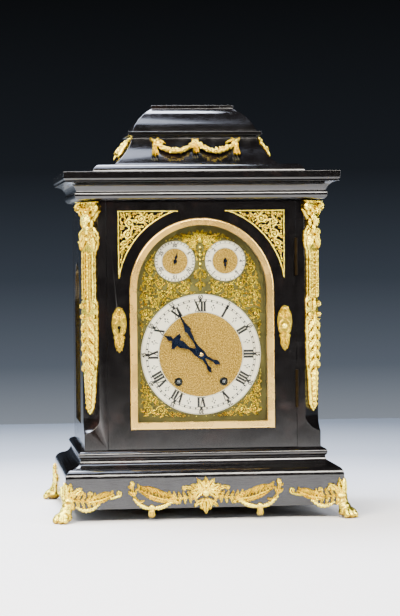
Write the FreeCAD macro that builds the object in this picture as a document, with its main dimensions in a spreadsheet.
"""Ebonised bracket clock with a bell top, an arched brass dial and an eight-day striking movement.

Millimetres. X runs to the right of the dial, Y from front to back and Z up. The origin is on the
surface the clock stands on, under the middle of the case, and the dial faces -Y.
"""
import FreeCAD
import Part
import Sketcher
import math
import os
import re

os.makedirs("parts", exist_ok=True)
doc = FreeCAD.newDocument("bracket_clock")

# ---------------------------------------------------------------- driving dimensions
SIZES = {
    # carcass
    "body_w": 314.4, "body_d": 242.6, "body_low": 92, "body_top": 421,
    "post_w": 31.2, "post_d": 30, "side_t": 16, "board_t": 12,
    "chamfer": 20.4, "chamfer_low": 134, "stop_radius": 22,
    "window_w": 116, "window_y": 15, "window_low": 122, "window_spring": 281.5,
    # plinth, cornice and caddy; each reach is measured out from the carcass faces
    "plinth_low": 17, "plinth_top": 57, "plinth_reach": 27, "plinth_wall": 20,
    "cornice_top": 458, "cornice_reach": 25.1, "cornice_wall": 37,
    "slab_half": 141.5, "slab_top": 469, "depth_less": 35.9,
    "cove_half": 108, "neck_half": 83.5, "ledge_low": 508.5, "ledge_half": 90, "ledge_top": 514.5,
    "dome_half": 84.5, "plate_half": 56, "plate_low": 546.4, "clock_top": 551.6,
    # front door and bezel
    "door_w": 251, "door_low": 92.5, "door_top": 420.5, "door_t": 18, "gap": 0.5,
    "arch_z": 301.2, "sash_half": 90.8, "sash_low": 123.2, "bezel_half": 95.8, "bezel_low": 118.3,
    "sight_half": 86.6, "sight_low": 127.5, "bezel_proud": 4, "bezel_deep": 7.3,
    "glass_t": 2, "glass_half": 92.4, "key_z": 253.5, "key_x": 110,
    # rear door
    "rear_t": 16, "rear_stile": 34, "knob_x": 126, "knob_z": 262,
    # dial
    "dial_front": 101.3, "dial_t": 2, "dial_half": 87.4, "dial_low": 118.6, "surround_t": 8,
    "centre_z": 216, "ring_outer": 80, "ring_inner": 56, "ring_t": 1.2,
    "small_x": 33.6, "small_z": 340, "small_outer": 26.8, "small_inner": 17,
    "wind_x": 30.3, "wind_z": 179.6, "wind_hole": 4.6,
    # movement, with its depths measured back from the inside of the front plate
    "plate_front": 77, "plate_t": 3, "plate_gap": 44, "plate_w": 144, "plate_foot": 130,
    "plate_head": 304, "pivot_play": 0.05, "pivot": 1, "pallet_z": 284, "escape_z": 260,
    "rod_back": 9, "beat_length": 151, "bob_radius": 22, "bob_t": 9,
    "barrel_radius": 24, "barrel_length": 21, "bell_radius": 30, "bell_back": 58.5,
    # gilt mounts and feet
    "mount_low": 139.5, "mount_top": 419.5, "mount_t": 9,
    "paw_x": 187, "paw_y": 151.5, "wing_top": 54,
}

sheet = doc.addObject("Spreadsheet::Sheet", "dims")
for row, (alias, value) in enumerate(SIZES.items(), start=1):
    sheet.set(f"A{row}", str(value))
    sheet.setAlias(f"A{row}", alias)
doc.recompute()

PARTS = []


def formula(text):
    """An expression over the sheet's aliases, as an object outside the sheet reads them."""
    return re.sub(r"[a-z_]{3,}", lambda m: "dims." + m[0] if m[0] in SIZES else m[0], str(text))


def size(text):
    """The value of an expression, in millimetres."""
    return float(sheet.evalExpression(formula(text)))


def part(label, obj):
    """Name a finished sub-part and list it for export."""
    obj.Label = label
    PARTS.append(obj)
    return obj


def bind(obj, **values):
    """Tie an object's sizes to expressions over the sheet."""
    for name, text in values.items():
        obj.setExpression(name, formula(text))
    return obj


def put(obj, x=0, y=0, z=0, turn=None):
    """Place an object at expressions over the sheet, after an optional turn (axis, degrees)."""
    if turn:
        obj.Placement.Rotation = FreeCAD.Rotation(FreeCAD.Vector(*turn[0]), turn[1])
    for axis, text in zip("xyz", (x, y, z)):
        obj.setExpression(f"Placement.Base.{axis}", formula(text))
    return obj


# ---------------------------------------------------------------- shape helpers
PLANES = {
    "front": (FreeCAD.Rotation(FreeCAD.Vector(1, 0, 0), 90), FreeCAD.Vector(0, 1, 0)),
    "side": (FreeCAD.Rotation(FreeCAD.Vector(1, 1, 1), 120), FreeCAD.Vector(1, 0, 0)),
    "flat": (FreeCAD.Rotation(), FreeCAD.Vector(0, 0, 1)),
}
ALONG_Y = ((1, 0, 0), -90)


def arc_of(start, end, radius):
    """Minor arc from start to end; a positive radius bends to the left, a negative one right."""
    chord = end.sub(start)
    left = FreeCAD.Vector(-chord.y, chord.x, 0).normalize()
    reach = math.sqrt(max(radius * radius - chord.Length ** 2 / 4, 0))
    side = 1 if radius > 0 else -1
    centre = (start + end) * 0.5 + left * (reach * side)
    first, last = (start, end) if side > 0 else (end, start)
    angles = [math.atan2(p.y - centre.y, p.x - centre.x) for p in (first, last)]
    circle = Part.Circle(centre, FreeCAD.Vector(0, 0, 1), abs(radius))
    return Part.ArcOfCircle(circle, angles[0], angles[1])


def draw(sketch, points):
    """Closed outline in a sketch: a point is (across, up), or (across, up, radius) ending an arc."""
    places = [FreeCAD.Vector(size(p[0]), size(p[1]), 0) for p in points]
    first = sketch.GeometryCount
    rules = []
    ends = []
    for i, point in enumerate(points):
        start, end = places[i - 1], places[i]
        if len(point) == 2:
            sketch.addGeometry(Part.LineSegment(start, end))
            ends.append((1, 2))
        else:
            bend = size(point[2])
            sketch.addGeometry(arc_of(start, end, bend))
            ends.append((1, 2) if bend > 0 else (2, 1))
            rules.append((Sketcher.Constraint("Radius", first + i, abs(bend)), f"abs({point[2]})"))
    for i, point in enumerate(points):
        geometry, last = first + i, ends[i][1]
        rules.append((Sketcher.Constraint("DistanceX", -1, 1, geometry, last, places[i].x), point[0]))
        rules.append((Sketcher.Constraint("DistanceY", -1, 1, geometry, last, places[i].y), point[1]))
    count = sketch.ConstraintCount
    joins = []
    for i in range(len(points)):
        following = (i + 1) % len(points)
        joins.append(Sketcher.Constraint("Coincident", first + i, ends[i][1],
                                         first + following, ends[following][0]))
    sketch.addConstraint([rule for rule, _ in rules] + joins)
    for number, (_, text) in enumerate(rules, start=count):
        if re.search("[a-z_]{3,}", str(text).replace("abs", "")):
            sketch.setExpression(f"Constraints[{number}]", formula(text))
    return sketch


def prism(name, plane, points, start, length):
    """An outline on a plane at start, extruded along the plane's normal direction."""
    turn, direction = PLANES[plane]
    sketch = doc.addObject("Sketcher::SketchObject", name + "_outline")
    sketch.Placement.Rotation = turn
    axis = {"front": "y", "side": "x", "flat": "z"}[plane]
    sketch.setExpression(f"Placement.Base.{axis}", formula(start))
    draw(sketch, points)
    solid = doc.addObject("Part::Extrusion", name)
    solid.Base = sketch
    solid.DirMode = "Custom"
    solid.Dir = direction
    solid.Solid = True
    return bind(solid, LengthFwd=length)


def box(name, low, high):
    """A box between two corners, each an (x, y, z) of expressions."""
    solid = doc.addObject("Part::Box", name)
    spans = [f"({b}) - ({a})" for a, b in zip(low, high)]
    bind(solid, Length=spans[0], Width=spans[1], Height=spans[2])
    return put(solid, *low)


def rod(name, x, y, z, radius, length, turn=ALONG_Y):
    """A cylinder from (x, y, z), running back along Y unless it is turned."""
    solid = doc.addObject("Part::Cylinder", name)
    bind(solid, Radius=radius, Height=length)
    return put(solid, x, y, z, turn)


def cut(name, base, *tools):
    """Base less each tool."""
    for number, tool in enumerate(tools):
        result = doc.addObject("Part::Cut", f"{name}_cut{number}")
        result.Base = base
        result.Tool = tool
        result.Refine = True
        base = result
    return base


def fuse(name, *shapes):
    """Several solids as one piece."""
    result = doc.addObject("Part::MultiFuse", name)
    result.Shapes = list(shapes)
    result.Refine = True
    return result


def common(name, *shapes):
    """What several solids share."""
    result = doc.addObject("Part::MultiCommon", name)
    result.Shapes = list(shapes)
    return result


def mirrored(name, source, normal=(1, 0, 0)):
    """The same piece for the other side of the clock."""
    result = doc.addObject("Part::Mirroring", name)
    result.Source = source
    result.Normal = FreeCAD.Vector(*normal)
    return result


def turned(name, points, x, y, z, turn=ALONG_Y):
    """A lathe-turned body: points are (radius, distance along its axis)."""
    body = doc.addObject("PartDesign::Body", name)
    sketch = body.newObject("Sketcher::SketchObject", name + "_profile")
    plane = next(f for f in body.Origin.OriginFeatures if f.Role == "XZ_Plane")
    sketch.AttachmentSupport = [(plane, "")]
    sketch.MapMode = "FlatFace"
    draw(sketch, points)
    spin = body.newObject("PartDesign::Revolution", name + "_turning")
    spin.Profile = sketch
    spin.ReferenceAxis = (sketch, ["V_Axis"])
    spin.Angle = 360
    return put(body, x, y, z, turn)


def both_sides(right_half):
    """A whole outline from the right half, listed from the bottom up; 0 is a point on the middle."""
    whole = list(right_half)
    for i in range(len(right_half) - 1, -1, -1):
        point = right_half[i]
        bend = right_half[i + 1][2:] if i + 1 < len(right_half) else ()
        if str(point[0]) != "0":
            whole.append((f"-({point[0]})", point[1], *bend))
    if str(right_half[0][0]) == "0":
        whole[0] = (*right_half[0][:2], *right_half[1][2:])
    return whole


def moulded(name, profile, half_w, half_d, low, high):
    """A block with the same moulding mitred round its four sides: profile rows are (reach, z)."""
    across = both_sides([(f"{half_w} + {row[0]}", *row[1:]) for row in profile])
    along = both_sides([(f"{half_d} + {row[0]}", *row[1:]) for row in profile])
    front = prism(name + "_front", "front", across, "-body_w", "2 * body_w")
    side = prism(name + "_side", "side", along, "-body_w", "2 * body_w")
    return common(name, front, side)


# ---------------------------------------------------------------- plinth and boards
HALF_W, HALF_D = "body_w / 2", "body_d / 2"


def make_plinth():
    """Moulded plinth frame: block, ovolo, fillet, cove and the torus under the carcass."""
    profile = [
        ("plinth_reach", "plinth_low"),
        ("plinth_reach", "plinth_top"),
        (17.8, 68.5, 12),
        (16.2, 69.3),
        (5.2, 81, -11.5),
        (3.5, 90.8, 5.3),
        (0, "body_low"),
    ]
    block = moulded("plinth_block", profile, HALF_W, HALF_D, "plinth_low", "body_low")
    inner_w, inner_d = "(body_w / 2 - plinth_wall)", "(body_d / 2 - plinth_wall)"
    hollow = box("plinth_hollow", (f"-{inner_w}", f"-{inner_d}", "plinth_low - 1"),
                 (inner_w, inner_d, "body_low + 1"))
    part("base_plinth", cut("base_plinth", block, hollow))
    part("bottom_board", box("bottom_board", (f"-{inner_w}", f"-{inner_d}", "body_low - board_t"),
                             (inner_w, inner_d, "body_low")))


def make_cornice():
    """Cornice frame: bead, cove and fascia, with the top board of the carcass below it."""
    profile = [
        (0, "body_top"),
        (3.8, "body_top"),
        (8, 432.8, 6.9),
        (21.6, 444.6, -16),
        (23.4, 444.6),
        (23.4, 447.4),
        ("cornice_reach", 449.3),
        ("cornice_reach", "cornice_top"),
    ]
    block = moulded("cornice_block", profile, HALF_W, HALF_D, "body_top", "cornice_top")
    inner_w, inner_d = "(body_w / 2 - cornice_wall)", "(body_d / 2 - cornice_wall)"
    hollow = box("cornice_hollow", (f"-{inner_w}", f"-{inner_d}", "body_top - 1"),
                 (inner_w, inner_d, "cornice_top + 1"))
    part("cornice", cut("cornice", block, hollow))
    part("top_board", box("top_board", ("side_t - body_w / 2", "post_d - body_d / 2", "body_top - board_t"),
                          ("body_w / 2 - side_t", "body_d / 2 - rear_t - gap", "body_top")))


def make_caddy():
    """Bell top: a rounded slab, a hollow cove up to a ledge, a swelling dome and a flat cap."""
    slab = [
        ("slab_half", "cornice_top"),
        ("slab_half", 460),
        ("slab_half - 11.5", "slab_top", 11.6),
    ]
    part("caddy_slab", moulded("caddy_slab", slab, "0", "-depth_less", "cornice_top", "slab_top"))
    bell_top = [
        ("cove_half + 2", "slab_top"),
        ("cove_half", 471.5),
        ("neck_half", "ledge_low", -80),
        ("ledge_half", "ledge_low + 1"),
        ("ledge_half", "ledge_top"),
        ("dome_half", "ledge_top"),
        ("plate_half", "plate_low", 58),
        ("plate_half", "clock_top"),
    ]
    return part("caddy_top", moulded("caddy_top", bell_top, "0", "-depth_less", "slab_top", "clock_top"))


# ---------------------------------------------------------------- case sides
HINGE_Z = (170.0, 345.0)
HINGE_LENGTH, HINGE_MIDDLE, HINGE_WIDE = 50.0, 20.0, 13.0
KNUCKLE, HINGE_PIN, LEAF, LEAF_OFFSET = 2.2, 1.0, 0.75, 0.1
FRONT_HINGE = ("door_w / 2 + 0.25", "-body_d / 2 - 0.9")
REAR_HINGE = ("side_t - body_w / 2 + 0.15", "body_d / 2 + 0.9")


def hinge_recesses(axis, toward, inward):
    """Sinkings for both hinges of a door, in the wood on one side (toward +X or -X) of the pin."""
    x, y = axis
    deep = LEAF_OFFSET + LEAF + 0.05
    tools = []
    for z in HINGE_Z:
        low_z = z - HINGE_LENGTH / 2 - 0.1
        tools.append(rod("knuckle_relief", x, y, low_z, KNUCKLE + 0.15, HINGE_LENGTH + 0.2,
                         ((0, 0, 1), 0)))
        low_x = x if toward > 0 else f"{x} - {deep}"
        high_x = f"{x} + {deep}" if toward > 0 else x
        low_y = y if inward > 0 else f"{y} - {HINGE_WIDE} - 0.1"
        high_y = f"{y} + {HINGE_WIDE} + 0.1" if inward > 0 else y
        tools.append(box("leaf_sinking", (low_x, low_y, low_z), (high_x, high_y, low_z + HINGE_LENGTH + 0.2)))
    return tools


def window_arch(more):
    """Outline of the sound opening, enlarged by more all round, as (depth, height)."""
    half = f"(window_w / 2 + {more})"
    arch = both_sides([(half, f"window_low - {more}"), (half, "window_spring"),
                       (0, f"window_spring + {half}", half)])
    return [(f"{across} + window_y", *rest) for across, *rest in arch]


def make_sides():
    """Side and front post in one, with the stopped chamfer and the arched sound opening."""
    post = box("side_post", ("-body_w / 2", "-body_d / 2", "body_low"),
               ("post_w - body_w / 2", "post_d - body_d / 2", "body_top"))
    panel = box("side_panel", ("-body_w / 2", "post_d - body_d / 2", "body_low"),
                ("side_t - body_w / 2", "body_d / 2", "body_top"))
    bevel = prism("chamfer_cut", "flat", [
        ("-body_w / 2 - 5", "-body_d / 2 - 5"), ("chamfer + 5 - body_w / 2", "-body_d / 2 - 5"),
        ("-body_w / 2 - 5", "chamfer + 5 - body_d / 2")], "chamfer_low", "body_top - chamfer_low + 1")
    # a round hollow across the corner stops the chamfer above the foot of the post
    reach = 60
    depth = "(chamfer / sqrt(2) - stop_radius)"
    stop = rod("chamfer_stop", f"-body_w / 2 + {depth} / sqrt(2) - {reach} / sqrt(2)",
               f"-body_d / 2 + {depth} / sqrt(2) + {reach} / sqrt(2)", "chamfer_low",
               "stop_radius", str(2 * reach))
    stop.Placement.Rotation = FreeCAD.Rotation(FreeCAD.Vector(0, 0, 1), FreeCAD.Vector(1, -1, 0))
    opening = prism("sound_opening", "side", window_arch("0"), "-body_w / 2 - 1", "side_t + 2")
    rebate = prism("fret_rebate", "side", window_arch("5"), "side_t / 2 - body_w / 2", "side_t / 2 + 1")
    wood = fuse("side_wood", post, panel)
    plain = cut("side_cut", wood, bevel, stop, opening, rebate)
    mortise = box("bolt_mortise", ("post_w - body_w / 2 - 5.5", "-body_d / 2 + 6.6", "key_z - 6.5"),
                  ("post_w - body_w / 2 + 1", "-body_d / 2 + 11.4", "key_z + 6.5"))
    part("case_side_left", cut("side_left", plain, mortise, *hinge_recesses(REAR_HINGE, -1, -1)))
    slot = box("catch_slot", ("body_w / 2 - side_t - 1", "body_d / 2 - rear_t - 3.2", "knob_z - 11"),
               ("body_w / 2 - side_t + 5", "body_d / 2 - rear_t - 0.2", "knob_z + 11"))
    part("case_side_right", cut("side_right", mirrored("side_mirrored", plain), slot,
                                *hinge_recesses(FRONT_HINGE, 1, 1)))


def make_side_frets():
    """Lozenge lattice frets in the sound openings, with silk behind them."""
    fitted = window_arch("4.8")
    blank = prism("fret_blank", "side", fitted, "side_t / 2 - body_w / 2", "3")
    pitch_y, pitch_z, bar_half = 14.5, 20.0, 1.1
    spring = size("window_spring")
    middle, half = size("window_y"), size("window_w") / 2 - 3.5
    start_x = size("side_t / 2 - body_w / 2") - 1
    lozenges = []
    for row in range(24):
        for column in range(-4, 5):
            y = (column + (0.5 if row % 2 else 0)) * pitch_y
            z = size("window_low") + 10 + row * pitch_z / 2
            high = z + pitch_z / 2
            crowded = abs(y) > half - pitch_y / 2
            if high > spring and math.hypot(abs(y) + pitch_y / 4, high - spring - pitch_z / 8) > half:
                crowded = True
            if crowded or high > spring + half:
                continue
            half_y = pitch_y / 2 - bar_half * 1.3
            half_z = pitch_z / 2 - bar_half * 1.8
            corners = [(half_y, 0), (0, half_z), (-half_y, 0), (0, -half_z)]
            ring = [FreeCAD.Vector(start_x, middle + y + a, z + b) for a, b in corners]
            face = Part.Face(Part.makePolygon(ring + ring[:1]))
            lozenges.append(face.extrude(FreeCAD.Vector(5, 0, 0)))
    holes = doc.addObject("Part::Feature", "fret_holes")
    holes.Shape = Part.makeCompound(lozenges)
    pierced = cut("side_fret_left", blank, holes)
    part("side_frets", fuse("side_frets", pierced, mirrored("side_fret_right", pierced)))
    silk = prism("silk_left", "side", fitted, "side_t / 2 - body_w / 2 + 3", "1")
    part("side_cloths", fuse("side_cloths", silk, mirrored("silk_right", silk)))


# ---------------------------------------------------------------- doors
def arched(half, low):
    """Outline of an arched opening round the dial, from its half width and its sill."""
    return both_sides([(half, low), (half, "arch_z"), (0, f"arch_z + {half}", half)])


def make_front_door():
    """Front door frame with its arched sash opening, glass rebate, keyhole and bolt mortise."""
    blank = box("door_blank", ("-door_w / 2", "-body_d / 2", "door_low"),
                ("door_w / 2", "door_t - body_d / 2", "door_top"))
    sash = prism("door_sash", "front", arched("sash_half", "sash_low"), "-body_d / 2 - 1", "door_t + 2")
    rebate = prism("door_rebate", "front", arched("glass_half + 0.3", "sash_low - 1.9"),
                   "bezel_deep - body_d / 2", "door_t")
    bolt_way = box("bolt_way", ("-door_w / 2 - 1", "-body_d / 2 + 6.8", "key_z - 6.2"),
                   ("-door_w / 2 + 14", "-body_d / 2 + 11.2", "key_z + 6.2"))
    keyhole = rod("keyhole", "-key_x", "-body_d / 2 - 1", "key_z", 2.4, 9)
    key_slot = box("key_slot", ("-key_x - 1.1", "-body_d / 2 - 1", "key_z - 7"),
                   ("1.1 - key_x", "-body_d / 2 + 8", "key_z"))
    part("door_frame", cut("door_frame", blank, sash, rebate, bolt_way, keyhole, key_slot,
                           *hinge_recesses(FRONT_HINGE, -1, 1)))
    part("door_glass", prism("door_glass", "front", arched("glass_half", "sash_low - 1.6"),
                             "bezel_deep - body_d / 2", "glass_t"))
    bolt = box("bolt_blank", ("-door_w / 2 + 0.3", "-body_d / 2 + 7", "key_z - 6"),
               ("-door_w / 2 + 12", "-body_d / 2 + 11", "key_z + 6"))
    notch = box("bolt_notch", ("-door_w / 2 + 7", "-body_d / 2 + 6", "key_z - 7"),
                ("-door_w / 2 + 10", "-body_d / 2 + 12", "key_z - 2"))
    part("lock_bolt", cut("lock_bolt", bolt, notch))


def make_bezel():
    """Brass sash: a flange moulded on the face of the door and a sight tube that backs the glass."""
    flange = prism("bezel_flange", "front", arched("bezel_half", "bezel_low"),
                   "-body_d / 2 - bezel_proud", "bezel_proud")
    tube = prism("bezel_tube", "front", arched("sash_half - 0.1", "sash_low + 0.1"),
                 "-body_d / 2", "bezel_deep")
    sight = prism("bezel_sight", "front", arched("sight_half", "sight_low"),
                  "-body_d / 2 - bezel_proud - 1", "bezel_deep + bezel_proud + 2")
    ring = cut("bezel_ring", fuse("bezel_blank", flange, tube), sight)
    doc.recompute()
    front_y = -size("body_d / 2 + bezel_proud")
    outer = []
    for number, edge in enumerate(ring.Shape.Edges, start=1):
        bounds = edge.BoundBox
        if abs(bounds.YMin - front_y) < 0.01 and abs(bounds.YMax - front_y) < 0.01:
            middle = edge.CenterOfMass
            wide = max(abs(bounds.XMin), abs(bounds.XMax)) > size("sight_half") + 1
            low = bounds.ZMin < size("bezel_low") + 1
            if wide or low and abs(middle.x) > 0:
                outer.append(number)
    eased = doc.addObject("Part::Fillet", "bezel_eased")
    eased.Base = ring
    eased.Edges = [(number, 2.2, 2.2) for number in outer]
    doc.recompute()
    part("door_bezel", eased)


def butt_hinge(axis, z, side, inward):
    """A hinge's two halves; side is +1 where the door lies on the low-X side of the pin.

    Returns the door's leaf with its middle knuckle, and the case's leaf with its end knuckles
    and the pin.
    """
    x, y = size(axis[0]), size(axis[1])
    up = FreeCAD.Vector(0, 0, 1)
    half, mid = HINGE_LENGTH / 2, HINGE_MIDDLE / 2

    def barrel(radius, low, high):
        return Part.makeCylinder(radius, high - low, FreeCAD.Vector(x, y, z + low), up)

    def plate(sign):
        near = x + sign * LEAF_OFFSET
        low_y = y if inward > 0 else y - HINGE_WIDE
        corner = FreeCAD.Vector(min(near, near + sign * LEAF), low_y, z - half)
        return Part.makeBox(LEAF, HINGE_WIDE, HINGE_LENGTH, corner)

    clear = KNUCKLE + 0.15
    door = plate(-side).cut(barrel(clear, -half, -mid)).cut(barrel(clear, mid, half))
    door = door.fuse(barrel(KNUCKLE, 0.1 - mid, mid - 0.1))
    door = door.cut(barrel(HINGE_PIN + size("pivot_play"), -mid, mid))
    case = plate(side).cut(barrel(clear, -mid, mid))
    case = case.fuse(barrel(KNUCKLE, -half, -mid)).fuse(barrel(KNUCKLE, mid, half))
    case = case.fuse(barrel(HINGE_PIN, -half, half))
    return door.removeSplitter(), case.removeSplitter()


def feature(label, shape):
    """A sub-part whose shape is worked out from the sheet's sizes with solid modelling calls."""
    obj = doc.addObject("Part::Feature", label)
    obj.Shape = shape
    return part(label, obj)


def make_hinges():
    """Butt hinges of both doors, two to each."""
    front = [butt_hinge(FRONT_HINGE, z, 1, 1) for z in HINGE_Z]
    rear = [butt_hinge(REAR_HINGE, z, -1, -1) for z in HINGE_Z]
    feature("door_hinges", Part.makeCompound([door for door, _ in front]))
    feature("rear_door_hinges", Part.makeCompound([door for door, _ in rear]))
    feature("hinge_pins", Part.makeCompound([case for _, case in front + rear]))


def make_rear_door():
    """Rear door: an arched glazed frame with a turning catch."""
    half = "(body_w / 2 - side_t - 0.3)"
    blank = box("rear_blank", (f"-{half}", "body_d / 2 - rear_t", "door_low"),
                (half, "body_d / 2", "door_top"))
    light_half = f"({half} - rear_stile)"
    light_low = "(door_low + rear_stile)"
    spring = f"(door_top - rear_stile - {light_half})"
    arch = both_sides([(light_half, light_low), (light_half, spring),
                       (0, f"{spring} + {light_half}", light_half)])
    light = prism("rear_light", "front", arch, "body_d / 2 - rear_t - 1", "rear_t + 2")
    pane = f"({light_half} + 3.7)"
    glazing = both_sides([(f"{pane} + 0.3", f"{light_low} - 4"), (f"{pane} + 0.3", spring),
                          (0, f"{spring} + {pane} + 0.3", f"{pane} + 0.3")])
    rebate = prism("rear_rebate", "front", glazing, "body_d / 2 - rear_t - 1", "7")
    spindle = rod("spindle_hole", "knob_x", "body_d / 2 - rear_t - 1", "knob_z", 2.55, "rear_t + 2")
    part("rear_door_frame", cut("rear_door_frame", blank, light, rebate, spindle,
                                *hinge_recesses(REAR_HINGE, 1, -1)))
    sheet_outline = both_sides([(pane, f"{light_low} - 3.7"), (pane, spring),
                                (0, f"{spring} + {pane}", pane)])
    part("rear_door_glass", prism("rear_door_glass", "front", sheet_outline,
                                  "body_d / 2 - rear_t + 4", "2"))
    knob = turned("catch_knob", [(0, -2.7), (2.5, -2.7), (2.5, "rear_t + 0.3"), (5, "rear_t + 0.3"),
                                 (5, "rear_t + 2"), (3, "rear_t + 3.5"), (3, "rear_t + 5"),
                                 (6.5, "rear_t + 8"), (6.5, "rear_t + 10"), (4.5, "rear_t + 12"),
                                 (0, "rear_t + 12.5")],
                  "knob_x", "body_d / 2 - rear_t", "knob_z")
    tongue = box("catch_tongue", ("knob_x - 3", "body_d / 2 - rear_t - 2.7", "knob_z - 3"),
                 ("knob_x + 3", "body_d / 2 - rear_t - 0.7", "knob_z + 18"))
    part("rear_catch", fuse("rear_catch", knob, tongue))


# ---------------------------------------------------------------- dial
def make_dial():
    """Wooden surround, arched dial plate on four feet, silvered rings and their holes."""
    surround = box("surround_blank", ("post_w - body_w / 2", "-dial_front - 1.5", "body_low"),
                   ("body_w / 2 - post_w", "surround_t - dial_front - 1.5", "body_top"))
    hole = prism("surround_hole", "front", arched("dial_half + 0.6", "dial_low - 0.6"),
                 "-dial_front - 3", "surround_t + 4")
    part("dial_surround", cut("dial_surround", surround, hole))
    plate = prism("dial_blank", "front", arched("dial_half", "dial_low"), "-dial_front", "dial_t")
    feet = []
    for x, z in ((-64, 140), (64, 140), (-64, 292), (64, 292)):
        feet.append(rod("dial_foot", x, "-dial_front", z, 2.5, "dial_front - plate_front"))
    holes = [rod("centre_hole", 0, "-dial_front - 1", "centre_z", 4.6, "dial_t + 2")]
    for side in (-1, 1):
        holes.append(rod("winding_hole", f"{side} * wind_x", "-dial_front - 1", "wind_z",
                         "wind_hole", "dial_t + 2"))
        holes.append(rod("small_hand_hole", f"{side} * small_x", "-dial_front - 1", "small_z",
                         1.55, "dial_t + 2"))
    part("dial_plate", cut("dial_plate", fuse("dial_with_feet", plate, *feet), *holes))
    ring = cut("chapter_ring", rod("ring_disc", 0, "-dial_front - ring_t", "centre_z",
                                   "ring_outer", "ring_t"),
               rod("ring_eye", 0, "-dial_front - ring_t - 1", "centre_z", "ring_inner", "ring_t + 2"))
    part("chapter_ring", ring)
    small = []
    for side in (-1, 1):
        disc = rod("small_disc", f"{side} * small_x", "-dial_front - ring_t", "small_z",
                   "small_outer", "ring_t")
        eye = rod("small_eye", f"{side} * small_x", "-dial_front - ring_t - 1", "small_z",
                  "small_inner", "ring_t + 2")
        small.append(cut("small_ring", disc, eye))
    part("subsidiary_rings", fuse("subsidiary_rings", *small))


def make_dial_spandrels():
    """Cast corner pieces between the chapter ring, the arch and the edge of the dial."""
    face_y, thick = "-dial_front - 2", "2"
    low = prism("spandrel_low", "front", [
        (30, 121.5), (84.5, 121.5), (84.5, 178), (77.44, 189.03), (35.95, 142.3, -82)], face_y, thick)
    high = prism("spandrel_high", "front", [
        (77.44, 242.97, -82), (84.5, 252), (84.5, 301.2), (64.73, 355.52, 84.5), (60.4, 349.7),
        (28.65, 311.9, -28.5), (35.95, 289.7)], face_y, thick)
    crest = prism("spandrel_crest", "front", both_sides([
        (0, 352), (7, 354), (12, 364, 14), (26, 371, -30), (20, 378, 10), (8, 383.4), (0, 383.6)]),
        face_y, thick)
    pieces = [low, high, crest, mirrored("spandrel_low_left", low), mirrored("spandrel_high_left", high)]
    part("dial_spandrels", fuse("dial_spandrels", *pieces))


def hand_outline(points, x, z, degrees):
    """Points (across, along) of a hand at twelve, turned clockwise by degrees about its centre."""
    angle = math.radians(degrees)
    turned_points = []
    for across, along in points:
        dx = across * math.cos(angle) + along * math.sin(angle)
        dz = -across * math.sin(angle) + along * math.cos(angle)
        turned_points.append(FreeCAD.Vector(x + dx, 0, z + dz))
    return turned_points


def hand_blade(right_edge, x, z, degrees, y, thick):
    """A flat hand from the right edge of its outline, listed from the tip to the tail."""
    left_edge = [(-across, along) for across, along in reversed(right_edge) if across]
    ring = hand_outline(right_edge + left_edge, x, z, degrees)
    face = Part.Face(Part.makePolygon(ring + ring[:1]))
    face.translate(FreeCAD.Vector(0, y, 0))
    return face.extrude(FreeCAD.Vector(0, thick, 0))


def bar(x, y, z, radius, length):
    """A round bar running back from (x, y, z)."""
    return Part.makeCylinder(radius, length, FreeCAD.Vector(x, y, z), FreeCAD.Vector(0, 1, 0))


PIVOT, PLAY = size("pivot"), size("pivot_play")
MINUTE_ANGLE, HOUR_ANGLE = 331.5, 297.6
HOUR_EDGE = [(0, 59.5), (1.1, 52), (3.4, 47), (1.4, 43), (4.5, 41.5), (12.2, 38.5), (9, 35),
             (4, 34), (5.2, 29), (3, 23), (1.6, 18), (2.6, 13), (5.2, 7), (5.2, -3),
             (2, -8), (1.4, -17), (3.4, -23), (1.4, -27), (0, -29.4)]
MINUTE_EDGE = [(0, 69), (0.9, 60), (1.7, 47), (3.2, 41), (4.6, 37.5), (2.6, 34), (2.4, 27),
               (1.3, 20), (2.2, 12), (4.4, 6), (4.4, -3), (1.7, -8), (1.2, -17),
               (3, -22), (1.2, -26), (0, -28.5)]
SMALL_EDGE = [(0, 14.5), (0.7, 8), (1.9, 5.5), (0.8, 3), (1.6, 0), (0.8, -3), (0, -5)]


def make_hands():
    """Blued hands: hour and minute on the centre, and the two small ones in the arch."""
    front = -size("dial_front")
    centre = size("centre_z")
    hour = hand_blade(HOUR_EDGE, 0, centre, HOUR_ANGLE, front - 4.8, 1.0)
    boss = bar(0, front - 4.8, centre, 6.2, 1.0)
    hour = hour.fuse(boss).cut(bar(0, front - 6, centre, 2.5 + PLAY, 4))
    feature("hour_hand", hour.removeSplitter())
    minute = hand_blade(MINUTE_EDGE, 0, centre, MINUTE_ANGLE, front - 7.2, 1.0)
    collet = bar(0, front - 7.9, centre, 4.2, 1.7)
    minute = minute.fuse(collet).cut(bar(0, front - 7, centre, 1.5 + PLAY, 4))
    feature("minute_hand", minute.removeSplitter())
    for label, side, degrees in (("regulation_hand", -1, 14), ("strike_hand", 1, 180)):
        x, z = side * size("small_x"), size("small_z")
        blade = hand_blade(SMALL_EDGE, x, z, degrees, front - 2.6, 0.8)
        pin = bar(x, front - 3, z, 1.5, 9)
        feature(label, blade.fuse(bar(x, front - 3, z, 2.6, 1.2)).fuse(pin).removeSplitter())


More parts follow.
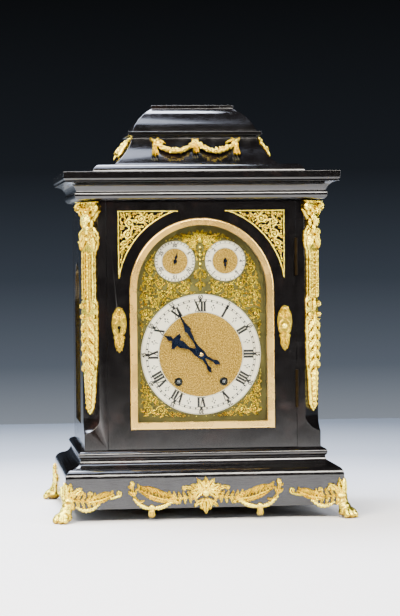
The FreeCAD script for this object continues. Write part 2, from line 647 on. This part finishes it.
# ---------------------------------------------------------------- gearing
def gear(teeth, module, phase, y, thick, leaves=False):
    """A toothed wheel or pinion about the Y axis; phase is the angle of one tooth, from X to Z.

    Wheel teeth are wide at the root. Pinion leaves are narrow and cut deep, as a clock's are, so
    that the two run freely with about a third of a pitch of play.
    """
    pitch = teeth * module / 2
    tip_add, root_less = (0.7, 1.35) if leaves else (0.9, 1.15)
    tip_half, root_half = (0.11, 0.19) if leaves else (0.11, 0.29)
    step = 2 * math.pi / teeth
    ring = []
    for tooth in range(teeth):
        middle = phase + tooth * step
        for radius, offset in ((pitch - root_less * module, -root_half), (pitch + tip_add * module, -tip_half),
                               (pitch + tip_add * module, tip_half), (pitch - root_less * module, root_half)):
            angle = middle + offset * step
            ring.append(FreeCAD.Vector(radius * math.cos(angle), y, radius * math.sin(angle)))
    face = Part.Face(Part.makePolygon(ring + ring[:1]))
    return face.extrude(FreeCAD.Vector(0, thick, 0))


def crossings(rim, hub, spokes, y, thick):
    """The windows between a wheel's spokes, straight-sided."""
    windows = []
    spoke_half = 1.6
    for spoke in range(spokes):
        low = 2 * math.pi * spoke / spokes
        high = 2 * math.pi * (spoke + 1) / spokes
        corners = []
        for radius, angles in ((rim, (low, (low + high) / 2, high)), (hub, (high, low))):
            for angle in angles:
                lean = math.asin(spoke_half / radius)
                shift = lean if angle == low else -lean if angle == high else 0
                corners.append((radius, angle + shift))
        ring = [FreeCAD.Vector(r * math.cos(a), y - 1, r * math.sin(a)) for r, a in corners]
        windows.append(Part.Face(Part.makePolygon(ring + ring[:1])).extrude(
            FreeCAD.Vector(0, thick + 2, 0)))
    return Part.makeCompound(windows)


def arbor(x, z, *pieces):
    """Pieces about one axis, moved to where the axis stands between the plates."""
    shape = pieces[0]
    for piece in pieces[1:]:
        shape = shape.fuse(piece)
    shape = shape.removeSplitter()
    shape.translate(FreeCAD.Vector(x, 0, z))
    return shape


GREAT_TEETH, CENTRE_LEAVES = 64, 8
CENTRE_TEETH, THIRD_LEAVES = 72, 6
THIRD_TEETH, ESCAPE_LEAVES = 66, 6
ESCAPE_TEETH = 35
CANNON_LEAVES, MINUTE_TEETH, MINUTE_LEAVES, HOUR_TEETH = 12, 36, 10, 40
PIN_TEETH, PIN_LEAVES = 60, 8
CENTRE_MODULE, THIRD_MODULE = 0.8, 0.7
CANNON_MODULE = 0.75
HOUR_MODULE = CANNON_MODULE * (CANNON_LEAVES + MINUTE_TEETH) / (MINUTE_LEAVES + HOUR_TEETH)


def arbor_places():
    """Where each arbor stands: (x, z) on the plates."""
    wind_x, wind_z, centre = size("wind_x"), size("wind_z"), size("centre_z")
    rise = size("escape_z") - centre
    centre_to_third = (CENTRE_TEETH + THIRD_LEAVES) * CENTRE_MODULE / 2
    third_to_escape = (THIRD_TEETH + ESCAPE_LEAVES) * THIRD_MODULE / 2
    cosine = (centre_to_third ** 2 + rise ** 2 - third_to_escape ** 2) / (2 * centre_to_third * rise)
    lean = math.acos(cosine)
    great_distance = math.hypot(wind_x, centre - wind_z)
    pin_lean = math.radians(110)
    minute_distance = (CANNON_LEAVES + MINUTE_TEETH) * CANNON_MODULE / 2
    return {
        "time": (wind_x, wind_z),
        "strike": (-wind_x, wind_z),
        "centre": (0, centre),
        "third": (-centre_to_third * math.sin(lean), centre + centre_to_third * math.cos(lean)),
        "escape": (0, size("escape_z")),
        "pallet": (0, size("pallet_z")),
        "pin": (-wind_x + great_distance * math.cos(pin_lean),
                wind_z + great_distance * math.sin(pin_lean)),
        "minute": (minute_distance * math.cos(math.radians(45)),
                   centre + minute_distance * math.sin(math.radians(45))),
        "hammer": (-53, 263),
    }


AT = arbor_places()
GREAT_MODULE = 2 * math.dist(AT["time"], AT["centre"]) / (GREAT_TEETH + CENTRE_LEAVES)
INSIDE = -size("plate_front - plate_t")
OUTSIDE = -size("plate_front")
BACK_INSIDE = INSIDE + size("plate_gap")
BACK_OUTSIDE = BACK_INSIDE + size("plate_t")

def heading(start, end):
    """The angle from one arbor to another, from X towards Z."""
    return math.atan2(AT[end][1] - AT[start][1], AT[end][0] - AT[start][0])


def spindle(radius=1.6):
    """An arbor between the plates with a pivot in each."""
    stem = bar(0, INSIDE + 0.3, 0, radius, BACK_INSIDE - INSIDE - 0.6)
    return stem.fuse(bar(0, OUTSIDE + 0.2, 0, PIVOT, BACK_OUTSIDE - OUTSIDE - 0.4))


def make_train():
    """The going train from the barrel to the escape wheel, all in mesh."""
    great_y = INSIDE + 31
    gap_at_centre = heading("centre", "time") + math.pi / CENTRE_LEAVES
    great = gear(GREAT_TEETH, GREAT_MODULE, heading("time", "centre"), great_y, 3)
    feature("time_barrel", arbor(*AT["time"], *barrel_pieces(great, INSIDE + 8, great_y)))
    centre_y = INSIDE + 38
    centre_wheel = gear(CENTRE_TEETH, CENTRE_MODULE, heading("centre", "third"), centre_y, 2)
    centre_wheel = centre_wheel.cut(crossings(24.5, 7, 4, centre_y, 2))
    feature("centre_wheel", arbor(
        *AT["centre"], centre_wheel,
        gear(CENTRE_LEAVES, GREAT_MODULE, gap_at_centre, great_y - 1.5, 6, leaves=True),
        bar(0, -size("dial_front") - 6.6, 0, 1.5, BACK_OUTSIDE - 0.2 + size("dial_front") + 6.6)))
    third_y = INSIDE + 12
    third_wheel = gear(THIRD_TEETH, THIRD_MODULE, heading("third", "escape"), third_y, 1.6)
    third_wheel = third_wheel.cut(crossings(19.8, 5, 4, third_y, 1.6))
    feature("third_wheel", arbor(
        *AT["third"], third_wheel, spindle(),
        gear(THIRD_LEAVES, CENTRE_MODULE, heading("third", "centre") + math.pi / THIRD_LEAVES,
             centre_y - 1.5, 5, leaves=True)))
    escape_y = INSIDE + 26
    feature("escape_wheel", arbor(
        *AT["escape"], escape_teeth(escape_y, 1.5).cut(crossings(11.6, 4, 4, escape_y, 1.5)),
        spindle(1.2),
        gear(ESCAPE_LEAVES, THIRD_MODULE, heading("escape", "third") + math.pi / ESCAPE_LEAVES,
             third_y - 2, 5.6, leaves=True)))
    return escape_y


def escape_teeth(y, thick):
    """Recoil escape wheel: each tooth leans into its travel and ends in a fine tip."""
    tip, root = 16.0, 13.2
    ring = []
    step = 2 * math.pi / ESCAPE_TEETH
    for tooth in range(ESCAPE_TEETH):
        for radius, offset in ((root, 0), (tip, 0.08), (tip, 0.16), (root, 0.72)):
            angle = (tooth + offset) * step
            ring.append(FreeCAD.Vector(radius * math.cos(angle), y, radius * math.sin(angle)))
    return Part.Face(Part.makePolygon(ring + ring[:1])).extrude(FreeCAD.Vector(0, thick, 0))


def barrel_pieces(great, barrel_y, great_y):
    """Spring barrel: drum with end caps, its great wheel and a bore for the winding arbor."""
    radius, length = size("barrel_radius"), size("barrel_length")
    drum = bar(0, barrel_y, 0, radius, length)
    flange = bar(0, barrel_y, 0, radius + 0.8, 1.6)
    start = min(barrel_y, great_y)
    collar = bar(0, start, 0, 7, max(barrel_y + length, great_y + 3) - start)
    bore = bar(0, start - 2, 0, 3 + PLAY, 60)
    whole = drum.fuse(flange).fuse(collar).fuse(great).cut(bore)
    return [whole]


def make_strike():
    """The striking train: barrel, pin wheel and the hammer that it lifts."""
    great_y = INSIDE + 2.5
    great = gear(GREAT_TEETH, GREAT_MODULE, heading("strike", "pin"), great_y, 3)
    feature("strike_barrel", arbor(*AT["strike"], *barrel_pieces(great, INSIDE + 7, great_y)))
    pin_y = INSIDE + 33
    pin_wheel = gear(PIN_TEETH, CENTRE_MODULE, 0, pin_y, 2).cut(crossings(18.5, 6, 4, pin_y, 2))
    pins = []
    for number in range(8):
        angle = 2 * math.pi * number / 8
        pins.append(bar(20.6 * math.cos(angle), pin_y - 4, 20.6 * math.sin(angle), 0.8, 5))
    feature("pin_wheel", arbor(
        *AT["pin"], pin_wheel, spindle(), *pins,
        gear(PIN_LEAVES, GREAT_MODULE, heading("pin", "strike") + math.pi / PIN_LEAVES,
             great_y - 1, 5.5, leaves=True)))
    make_hammer(pin_y - 3.6)


def make_hammer(tail_y):
    """Bell hammer: an arbor with a lifting tail low down and a rod and head above the plates."""
    x, z = AT["hammer"]
    bell_y = -size("bell_back")
    lean = Part.makeCylinder(1.2, 55, FreeCAD.Vector(0, bell_y, 0), FreeCAD.Vector(0.21, 0, 1))
    head = Part.makeCylinder(4.5, 12, FreeCAD.Vector(9.8, bell_y, 53), FreeCAD.Vector(1, 0, 0))
    hub = bar(0, bell_y - 3, 0, 3, 6)
    tail = Part.makeBox(2, 2.6, 9, FreeCAD.Vector(-1, tail_y, -11.3))
    tail = tail.fuse(bar(0, tail_y, 0, 2.6, 2.6))
    feature("hammer", arbor(x, z, spindle(), hub, lean, head, tail))
    rim = size("plate_head") + 10
    radius = size("bell_radius")
    part("bell", fuse("bell", turned("bell_shell", [
        (radius, 0), (radius, 2), (radius - 3, 6), (radius - 7, 13), (radius - 15, 19), (6, 22), (0, 22.4),
        (0, 20.4), (6, 20), (radius - 16, 17.2), (radius - 9, 11.4), (radius - 5.4, 5.4), (radius - 2, 0)],
        0, "-bell_back", str(rim), ((0, 0, 1), 0)),
        turned("bell_nut", [(0, 22.2), (6.5, 22.2), (6.5, 24), (4, 24), (4, 30), (2, 32), (0, 32)],
               0, "-bell_back", str(rim), ((0, 0, 1), 0)),
        bell_standard(rim)))


def bell_standard(rim):
    """The steel strap that carries the bell: up the back plate and forward over the movement."""
    back = BACK_OUTSIDE
    strap = prism("bell_strap", "side", [
        (f"{back} + 2", 290), (f"{back} + 2", rim + 27), (f"{back} - 1", rim + 30, 3),
        ("-bell_back - 3", rim + 30), ("-bell_back - 3", rim + 27.6), (f"{back} - 1.4", rim + 27.6),
        (back, rim + 26.2, -1.4), (back, 290)], "-5", "10")
    return strap


def make_motion_work():
    """Behind the dial: cannon pinion, minute wheel and the hour wheel on its pipe."""
    low_y = OUTSIDE - 4
    toward = heading("centre", "minute")
    cannon = gear(CANNON_LEAVES, CANNON_MODULE, toward + math.pi / CANNON_LEAVES, low_y, 3, leaves=True)
    pipe_front = -size("dial_front") - 6.2
    feature("cannon_pinion", arbor(
        *AT["centre"], cannon.fuse(bar(0, pipe_front, 0, 2.5, low_y - pipe_front)).cut(
            bar(0, pipe_front - 2, 0, 1.5 + PLAY, 60))))
    minute = gear(MINUTE_TEETH, CANNON_MODULE, toward + math.pi, low_y + 0.6, 1.6)
    leaf_y = low_y - 5
    leaves = gear(MINUTE_LEAVES, HOUR_MODULE, toward + math.pi + math.pi / MINUTE_LEAVES, leaf_y, 5.6,
                  leaves=True)
    feature("minute_wheel", arbor(*AT["minute"], minute.fuse(leaves).cut(bar(0, leaf_y - 2, 0, 1.5 + PLAY, 30))))
    hour_y = leaf_y + 1
    hour = gear(HOUR_TEETH, HOUR_MODULE, toward, hour_y, 1.6)
    hour_front = -size("dial_front") - 3.8
    pipe = bar(0, hour_front, 0, 3.98, hour_y + 1.6 - hour_front)
    feature("hour_wheel", arbor(*AT["centre"], hour.fuse(pipe).cut(bar(0, hour_front - 2, 0, 2.5 + PLAY, 40))))
    return leaf_y


def make_winding_arbors():
    """Each mainspring's arbor: ratchet on the front plate and a square for the key in the dial."""
    front = -size("dial_front")
    clicks = []
    for label, key in (("time_winding_arbor", "time"), ("strike_winding_arbor", "strike")):
        side = 2.15
        square = Part.makeBox(2 * side, 20, 2 * side, FreeCAD.Vector(-side, front - 1.5, -side))
        stem = bar(0, front + 16, 0, 3, BACK_INSIDE - 0.3 - front - 16)
        pivot = bar(0, front + 16, 0, 2, BACK_OUTSIDE - 0.2 - front - 16)
        ring = []
        count, tip, root = 20, 9.5, 8.2
        for tooth in range(count):
            for radius, offset in ((root, 0), (tip, 0.1)):
                angle = 2 * math.pi * (tooth + offset) / count
                ring.append(FreeCAD.Vector(radius * math.cos(angle), OUTSIDE - 2.6, radius * math.sin(angle)))
        ratchet = Part.Face(Part.makePolygon(ring + ring[:1])).extrude(FreeCAD.Vector(0, 2, 0))
        feature(label, arbor(*AT[key], square, stem, pivot, ratchet))
        x, z = AT[key]
        outward = 1 if x > 0 else -1
        points = [(9.9, -1), (12, -4), (22, -2.5), (22, 2.5), (13, 2)]
        face = [FreeCAD.Vector(x + outward * a, OUTSIDE - 2.4, z + b) for a, b in points]
        click = Part.Face(Part.makePolygon(face + face[:1])).extrude(FreeCAD.Vector(0, 1.8, 0))
        screw = bar(x + outward * 19, OUTSIDE - 3.4, z, 1.6, 3.4)
        clicks.append(click.fuse(screw).removeSplitter())
    feature("winding_clicks", Part.makeCompound(clicks))


def make_plates():
    """Brass movement plates with every pivot hole, four pillars, seat board and back cock."""
    for label, low_y, winding in (("front_plate", "-plate_front", 3), ("back_plate", str(BACK_INSIDE), 2)):
        plate = box(label + "_blank", ("-plate_w / 2", low_y, "plate_foot"),
                    ("plate_w / 2", f"{low_y} + plate_t", "plate_head"))
        holes = []
        for key, (x, z) in AT.items():
            radius = {"time": winding, "strike": winding, "centre": 1.5, "minute": 0,
                      "pallet": 1.0 if label == "front_plate" else 3.0}.get(key, 1.0)
            if radius:
                holes.append(rod("pivot_hole", x, f"{low_y} - 1", z, f"{radius} + pivot_play",
                                 "plate_t + 2"))
        if label == "front_plate":
            x, z = AT["minute"]
            stud = rod("minute_stud", x, f"{OUTSIDE} - 10", z, 1.5, 10.5)
            plate = fuse("plate_with_stud", plate, stud)
        part(label, cut(label, plate, *holes))
    pillars = []
    for x, z in ((-62, 142), (62, 142), (-62, 292), (62, 292)):
        body = turned("pillar", [(0, 0), (5, 0), (5, 3), (3.4, 6), (3.4, 19), (5, 22), (3.4, 25), (3.4, 38),
                                 (5, 41), (5, "plate_gap"), (0, "plate_gap")], x, INSIDE, z)
        pillars.append(body)
    part("plate_pillars", fuse("plate_pillars", *pillars))
    seat = box("seat_top", ("side_t - body_w / 2", -88, "plate_foot - board_t"),
               ("body_w / 2 - side_t", -24, "plate_foot"))
    ends = [box("seat_end", ("side_t - body_w / 2", -88, "body_low"),
                ("side_t - body_w / 2 + 14", -24, "plate_foot - board_t"))]
    ends.append(mirrored("seat_end_right", ends[0]))
    part("seat_board", fuse("seat_board", seat, *ends))


def make_escapement(escape_y):
    """Anchor pallets with their crutch, the back cock and the pendulum that hangs from it."""
    z = size("pallet_z")
    nib_x, nib_z = 10.4, -10.2
    outline = [(0, 4.5), (4, 2.5), (nib_x + 1.6, nib_z + 2), (nib_x, nib_z), (nib_x - 1.8, nib_z + 1.2),
               (3, -3.6), (-3, -3.6), (1.8 - nib_x, nib_z + 1.2), (-nib_x, nib_z),
               (-nib_x - 1.6, nib_z + 2), (-4, 2.5)]
    ring = [FreeCAD.Vector(a, escape_y - 0.75, b) for a, b in outline]
    anchor = Part.Face(Part.makePolygon(ring + ring[:1])).extrude(FreeCAD.Vector(0, 3, 0))
    cock_y = BACK_OUTSIDE + 11
    stem = bar(0, INSIDE + 0.3, 0, 1.5, cock_y - 0.3 - INSIDE - 0.3)
    pivots = bar(0, OUTSIDE + 0.2, 0, PIVOT, cock_y + 2.8 - OUTSIDE - 0.2)
    crutch_y = BACK_OUTSIDE + 4
    drop = -36
    arm = Part.makeBox(2.4, 1.4, -drop, FreeCAD.Vector(-1.2, crutch_y, drop))
    cross = Part.makeBox(6.4, 1.4, 2.4, FreeCAD.Vector(-3.2, crutch_y, drop))
    rod_y = -size("rod_back")
    prongs = [Part.makeBox(1.6, rod_y + 3 - crutch_y, 2.4, FreeCAD.Vector(side * 2.4 - 0.8, crutch_y, drop))
              for side in (-1, 1)]
    feature("pallets", arbor(0, z, stem, pivots, anchor, arm, cross, *prongs))
    # back cock: two feet on the plate, a bridge with the rear pivot, and the pendulum's stud
    bridge = box("cock_bridge", (-24, cock_y, "pallet_z - 7"), (24, cock_y + 3, "pallet_z + 9"))
    feet = [box("cock_foot", (16, BACK_OUTSIDE, "pallet_z - 7"), (24, cock_y, "pallet_z + 9"))]
    feet.append(box("cock_foot_left", (-24, BACK_OUTSIDE, "pallet_z - 7"), (-16, cock_y, "pallet_z + 9")))
    pivot_hole = rod("cock_pivot", 0, cock_y - 1, "pallet_z", "pivot + pivot_play", 3.9)
    stud = rod("cock_stud", 0, cock_y + 2.9, "pallet_z", 1.2, f"-rod_back + 4.5 - ({cock_y + 2.9})")
    part("back_cock", fuse("back_cock", cut("cock_casting", fuse("cock_solid", bridge, *feet), pivot_hole), stud))
    # pendulum, all about the stud's axis
    length = size("beat_length")
    eye = bar(0, rod_y - 1.6, 0, 3.6, 3.2)
    spring = Part.makeBox(5, 0.8, 14, FreeCAD.Vector(-2.5, rod_y - 0.4, -17))
    block = Part.makeBox(8, 3, 5, FreeCAD.Vector(-4, rod_y - 1.5, -21))
    hanging = Part.makeCylinder(1.1, length + 6, FreeCAD.Vector(0, rod_y, -20), FreeCAD.Vector(0, 0, -1))
    disc = lens(size("bob_radius"), size("bob_t"), rod_y, -length)
    nut = Part.makeCylinder(4, 3, FreeCAD.Vector(0, rod_y, -length - size("bob_radius") - 0.2),
                            FreeCAD.Vector(0, 0, -1))
    pendulum = eye.fuse(spring).fuse(block).fuse(hanging).fuse(disc).fuse(nut)
    feature("pendulum", arbor(0, z, pendulum.cut(bar(0, rod_y - 4, 0, 1.2 + PLAY, 8))))


def lens(radius, thick, y, z):
    """A lens-shaped bob about the Y axis."""
    bulge = (radius ** 2 + (thick / 2) ** 2) / thick
    ball = Part.makeSphere(bulge)
    near, far = ball.copy(), ball.copy()
    near.translate(FreeCAD.Vector(0, y - thick / 2 + bulge, z))
    far.translate(FreeCAD.Vector(0, y + thick / 2 - bulge, z))
    return near.common(far)


# ---------------------------------------------------------------- gilt mounts
def make_corner_mounts():
    """Term mounts on the chamfers: capital, head, shoulders, strap and a long drop of foliage."""
    right = [(7, 150), (9.5, 165), (11, 190), (14.5, 208), (14.5, 246), (11, 258), (14.5, 262),
             (14.5, 286), (11, 292), (11, 352), (17.5, 366), (17.5, 379), (9.5, 384), (8.5, 388),
             (19, 402), (15.5, 405), (21, 413), (21, 419.5)]
    term = prism("term", "front", both_sides([(0, "mount_low")] + right + [(0, "mount_top")]),
                 "-mount_t", "mount_t + 3")
    capital = box("term_capital", (-21, "-mount_t - 4", 411), (21, 0, "mount_top"))
    blank = fuse("term_blank", term, capital)
    doc.recompute()
    corner = size("chamfer") / 2
    for label, side in (("left", -1), ("right", 1)):
        shape = blank.Shape.copy()
        shape.rotate(FreeCAD.Vector(0, 0, 0), FreeCAD.Vector(0, 0, 1), 45 * side)
        shape.translate(FreeCAD.Vector(side * (size("body_w") / 2 - corner), corner - size("body_d") / 2, 0))
        yield label, shape


def make_mounts(caddy):
    """Every gilt mount on the case, each cut to sit against the wood that carries it."""
    side_wood = {p.Label: p for p in PARTS}
    doc.recompute()
    terms = []
    for label, shape in make_corner_mounts():
        wood = side_wood["case_side_" + label].Shape
        terms.append(max(shape.cut(wood).Solids, key=lambda s: s.Volume))
    feature("corner_mounts", Part.makeCompound(terms))
    swags = []
    for wide, degrees in ((60, 0), (44, 90), (44, -90)):
        swags.append(caddy_swag(caddy, wide, degrees))
    feature("caddy_swags", Part.makeCompound([s for group in swags for s in group]))


def crescent(x0, x1, top, sag, thick):
    """Half of a swag: a hanging crescent between two points, seen from the front."""
    span = (x1 - x0) / 2
    middle = (x0 + x1) / 2
    a, b = FreeCAD.Vector(x0, 0, top), FreeCAD.Vector(x1, 0, top)
    low = FreeCAD.Vector(middle, 0, top - sag)
    high = FreeCAD.Vector(middle, 0, top - sag + thick)
    return Part.Face(Part.Wire([Part.Arc(a, low, b).toShape(), Part.Arc(b, high, a).toShape()]))


def caddy_swag(caddy, wide, degrees):
    """Double garland with three drops, laid against the cove of the bell top."""
    faces = [crescent(-wide + 5, 0, 500, 19, 8), crescent(0, wide - 5, 500, 19, 8)]
    drops = []
    for x in (-wide + 4, 0, wide - 4):
        points = [(x - 4, 506), (x + 4, 506), (x + 5, 496), (x + 2.5, 486), (x, 476), (x - 2.5, 486), (x - 5, 496)]
        ring = [FreeCAD.Vector(a, 0, b) for a, b in points]
        drops.append(Part.Face(Part.makePolygon(ring + ring[:1])))
    solids = [face.extrude(FreeCAD.Vector(0, 7, 0)) for face in faces + drops]
    whole = solids[0].multiFuse(solids[1:])
    # lean the plate back to the slope of the cove, standing just off its face
    low = FreeCAD.Vector(0, 0, 471.5)
    slope = math.degrees(math.atan2(size("cove_half - neck_half"), size("ledge_low") - 471.5))
    whole.rotate(low, FreeCAD.Vector(1, 0, 0), -slope)
    reach = size("cove_half - depth_less") if degrees == 0 else size("cove_half")
    whole.translate(FreeCAD.Vector(0, -reach - 2.6, 0))
    whole.rotate(FreeCAD.Vector(0, 0, 0), FreeCAD.Vector(0, 0, 1), degrees)
    return [s for s in whole.cut(caddy.Shape).Solids if s.Volume > 200]


def make_door_mounts():
    """Pierced corner frets and the two keyhole plates on the front door."""
    face = "-body_d / 2 - 1.6"
    fret = [(-111, 407.5), (-111, 323.6), (-108, 323.6), (-28.6, 407.5, -110)]
    left = prism("fret_left", "front", fret, face, "1.6")
    holes = []
    for x, z, radius in ((-101, 397, 6.5), (-101, 376, 5.5), (-80, 398, 5.5), (-62, 400, 4), (-102, 357, 4)):
        holes.append(rod("fret_piercing", x, "-body_d / 2 - 3", z, radius, 5))
    pierced = cut("fret_pierced", left, *holes)
    part("door_frets", fuse("door_frets", pierced, mirrored("fret_right", pierced)))
    plate = both_sides([(0, 220), (3.2, 224.5), (6, 234.5, 14), (5, 242.5, -10), (8.6, 250.5, 10),
                        (9.2, 264.5, 30), (6, 274.5, 14), (0, 280.8, 9)])
    shifted = [(f"{a} - key_x", *rest) for a, *rest in plate]
    left_plate = prism("escutcheon_left", "front", shifted, face, "1.6")
    right_plate = mirrored("escutcheon_right", left_plate)
    hole = rod("escutcheon_hole", "-key_x", "-body_d / 2 - 3", "key_z", 2.4, 5)
    slot = box("escutcheon_slot", ("-key_x - 1.1", "-body_d / 2 - 3", "key_z - 7"),
               ("1.1 - key_x", "-body_d / 2 + 1", "key_z"))
    part("escutcheons", fuse("escutcheons", cut("escutcheon_cut", left_plate, hole, slot), right_plate))


def make_apron():
    """Centre mount of the plinth: a leafy cartouche, two wings and hanging swags."""
    face = "-body_d / 2 - plinth_reach - 3"
    half = both_sides([
        (0, 11.5), (8, 17), (14, 26, 12), (20, 30), (34, 22, 40), (52, 20, 40), (62, 26), (66, 8),
        (70, 5), (73, 12), (73, 26), (84, 26, 30), (96, 36, 30), (101, 47, 20), (95, 54, 7), (88, 49, 7),
        (78, 40, -30), (60, 40, -60), (36, 46, -60), (22, 50, -40), (16, 56, 8), (0, 58)])
    part("apron_mount", prism("apron_mount", "front", half, face, "3"))


# ---------------------------------------------------------------- feet
def make_feet():
    """Lion-paw corner feet: paw and ankle under the plinth corner, with a leafy wing on each face."""
    reach_x, reach_y = "(body_w / 2 + plinth_reach)", "(body_d / 2 + plinth_reach)"
    wing = [(0, 12), (12, 14, 30), (24, 22, 30), (44, 25, -60), (62, 27, 60), (72, 31, 12), (76, 40, 9),
            (69, 46.5, 8), (62, 42, 7), (50, 42, -30), (30, 46, -60), (14, 52, -40), (0, "wing_top", 16)]
    across = [(f"{a} - {reach_x}", *rest) for a, *rest in wing]
    along = [(f"{a} - {reach_y}", *rest) for a, *rest in wing]
    front_wing = prism("wing_front", "front", across, f"-{reach_y} - 3", "3")
    side_wing = prism("wing_side", "side", along, f"-{reach_x} - 3", "3")
    corner = box("foot_corner", (f"-{reach_x} - 3", f"-{reach_y} - 3", 12),
                 (f"3 - {reach_x}", f"3 - {reach_y}", "wing_top"))
    plinth = box("foot_seat", (f"-{reach_x}", f"-{reach_y}", "plinth_low"), (0, 0, 90))
    upright = ((0, 0, 1), 0)
    paw = turned("paw", [(0, 0), (13.5, 0), (15.5, 3), (15.5, 7), (13, 12), (10, 15), (9, 20), (9, 27),
                         (6, 30), (0, 30)], "-paw_x", "-paw_y", 0, upright)
    toes = []
    for degrees in (-66, -22, 22, 66):
        angle = math.radians(225 + degrees)
        ahead = (math.cos(angle), math.sin(angle))
        toe = doc.addObject("Part::Cone", "toe")
        bind(toe, Radius1=5.6, Radius2=3, Height=9.3)
        toes.append(put(toe, f"{6.5 * ahead[0]} - paw_x", f"{6.5 * ahead[1]} - paw_y", 5,
                        ((-ahead[1], ahead[0], 0), 90)))
    ground = box("ground", ("-paw_x - 40", "-paw_y - 40", -40), ("-paw_x + 60", "-paw_y + 60", 0))
    pad = rod("foot_pad", "-paw_x + 12", "-paw_y + 12", 5, 12, "plinth_low - 5", upright)
    whole = fuse("foot_whole", front_wing, side_wing, corner, paw, pad, *toes)
    foot = cut("foot", whole, plinth, ground)
    part("foot_front_left", foot)
    part("foot_front_right", mirrored("foot_front_right", foot))
    part("foot_rear_left", mirrored("foot_rear_left", foot, (0, 1, 0)))
    part("foot_rear_right", mirrored("foot_rear_right", mirrored("foot_turned", foot, (0, 1, 0))))


# ---------------------------------------------------------------- build and write
make_plinth()
make_cornice()
caddy_top = make_caddy()
make_sides()
make_side_frets()
make_front_door()
make_bezel()
make_rear_door()
make_hinges()
make_dial()
make_dial_spandrels()
make_hands()
make_strike()
make_escapement(make_train())
make_motion_work()
make_winding_arbors()
make_plates()
make_door_mounts()
make_apron()
make_feet()
doc.recompute()
make_mounts(caddy_top)
doc.recompute()

for obj in doc.Objects:
    if "Invalid" in obj.State or "Error" in obj.State:
        raise RuntimeError(f"{obj.Label} failed: {obj.State}")
for sub_part in PARTS:
    if sub_part.Shape.isNull() or not sub_part.Shape.isValid() or not sub_part.Shape.Solids:
        raise RuntimeError(f"{sub_part.Label} has no valid solid")
for sub_part in PARTS:
    sub_part.Shape.exportStep(f"parts/{sub_part.Label}.step")
    print(f"{sub_part.Label}: {len(sub_part.Shape.Solids)} solid, {sub_part.Shape.Volume / 1000:.2f} cm3")
print(len(PARTS), "sub-parts")
